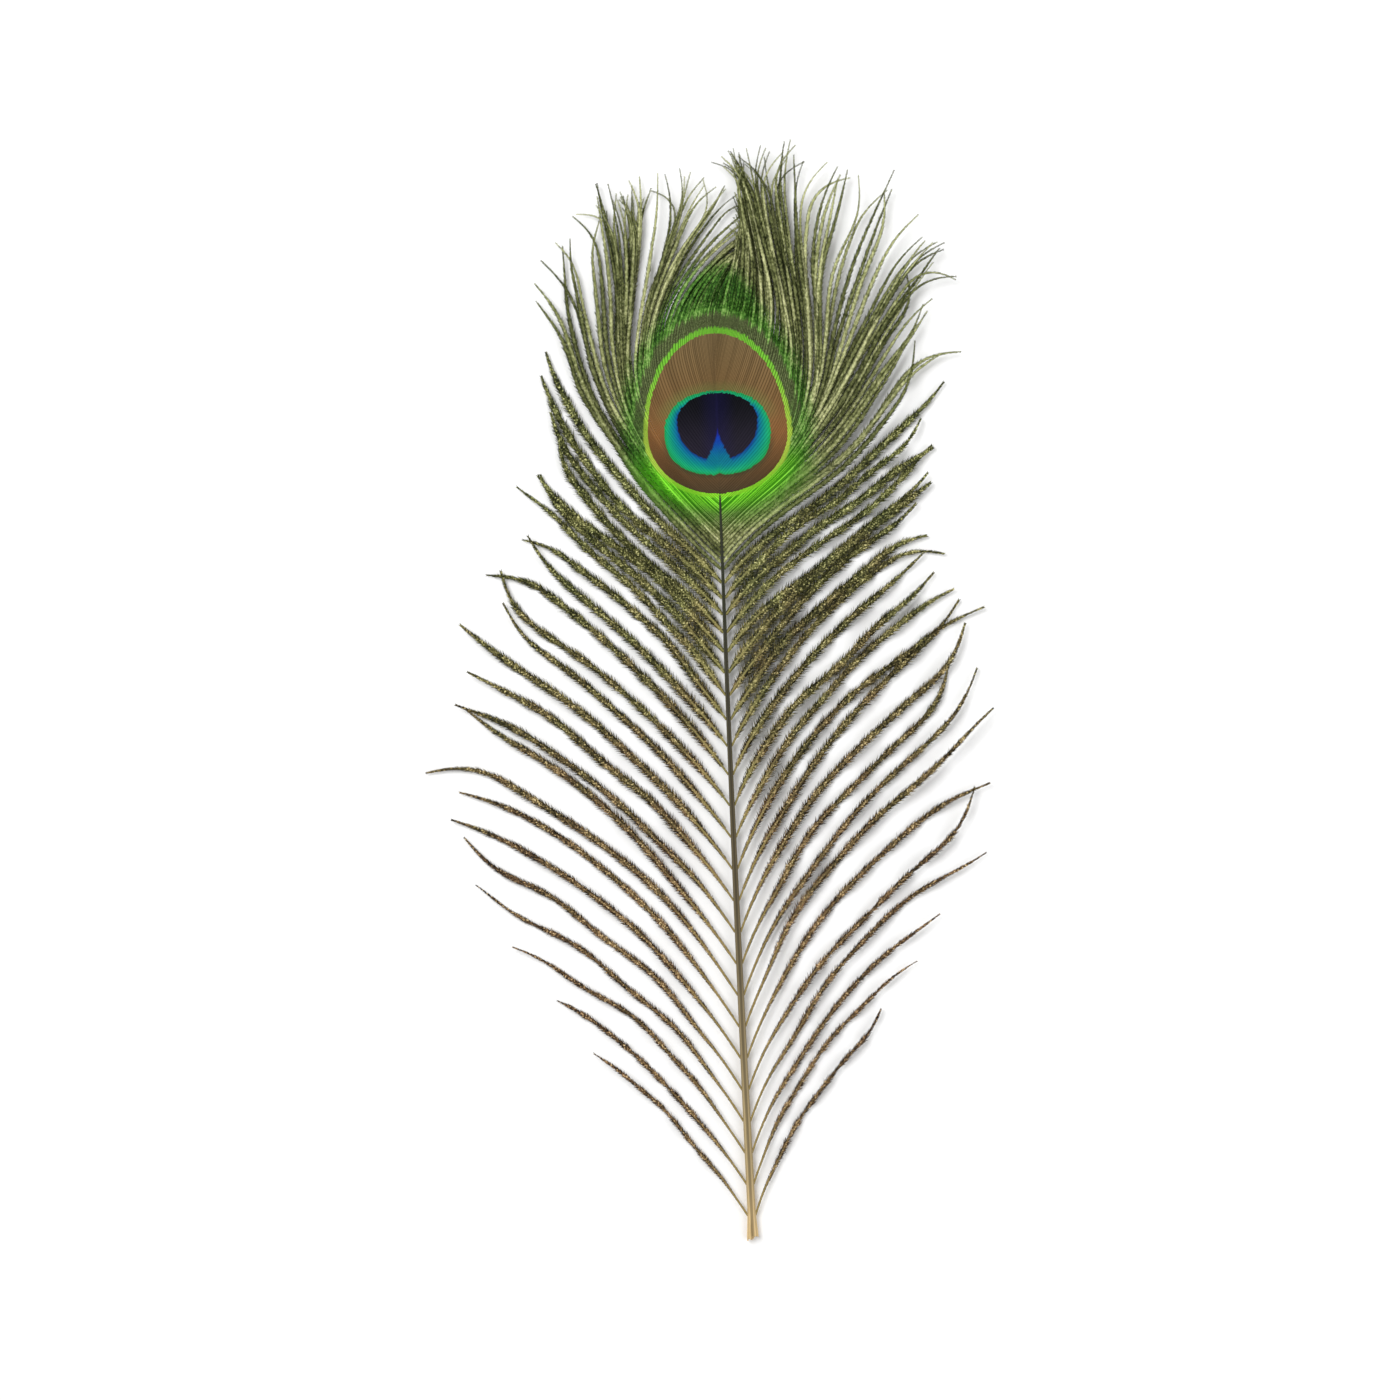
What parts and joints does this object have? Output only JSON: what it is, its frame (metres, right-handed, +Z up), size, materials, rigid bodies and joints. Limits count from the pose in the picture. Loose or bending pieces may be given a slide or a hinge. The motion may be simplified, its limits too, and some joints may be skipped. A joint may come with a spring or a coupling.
{
  "type": "peacock feather",
  "caption": "Cut peacock tail feather lying face up: a tapering shaft, loose downy barbs along both sides and a closed iridescent eye with a fringed crown.",
  "frame": {"origin": "on the surface that the feather lies on, under the middle of its outline", "axes": "+Y along the shaft from the cut end to the crown, +Z up out of the face that shows the eye, +X to the right as the face is looked at with the crown up"},
  "size_m": [0.1426, 0.2846, 0.0038],
  "materials": {
    "horn": "satin",
    "loose_barb": "satin",
    "eye_vane": "satin"
  },
  "bodies": {
    "root": {"shaft": "horn", "eye_vane_left": "eye_vane", "eye_vane_right": "eye_vane", "left_barb_01": "loose_barb", "left_barb_02": "loose_barb", "left_barb_03": "loose_barb", "left_barb_04": "loose_barb", "left_barb_05": "loose_barb", "left_barb_06": "loose_barb", "left_barb_07": "loose_barb", "left_barb_08": "loose_barb", "left_barb_09": "loose_barb", "left_barb_10": "loose_barb", "left_barb_11": "loose_barb", "left_barb_12": "loose_barb", "left_barb_13": "loose_barb", "left_barb_14": "loose_barb", "left_barb_15": "loose_barb", "left_barb_16": "loose_barb", "left_barb_17": "loose_barb", "left_barb_18": "loose_barb", "left_barb_19": "loose_barb", "left_barb_20": "loose_barb", "left_barb_21": "loose_barb", "left_barb_22": "loose_barb", "left_barb_23": "loose_barb", "left_barb_24": "loose_barb", "right_barb_01": "loose_barb", "right_barb_02": "loose_barb", "right_barb_03": "loose_barb", "right_barb_04": "loose_barb", "right_barb_05": "loose_barb", "right_barb_06": "loose_barb", "right_barb_07": "loose_barb", "right_barb_08": "loose_barb", "right_barb_09": "loose_barb", "right_barb_10": "loose_barb", "right_barb_11": "loose_barb", "right_barb_12": "loose_barb", "right_barb_13": "loose_barb", "right_barb_14": "loose_barb", "right_barb_15": "loose_barb", "right_barb_16": "loose_barb", "right_barb_17": "loose_barb", "right_barb_18": "loose_barb", "right_barb_19": "loose_barb", "right_barb_20": "loose_barb", "right_barb_21": "loose_barb", "right_barb_22": "loose_barb", "right_barb_23": "loose_barb", "right_barb_24": "loose_barb"}
  },
  "joints": []
}
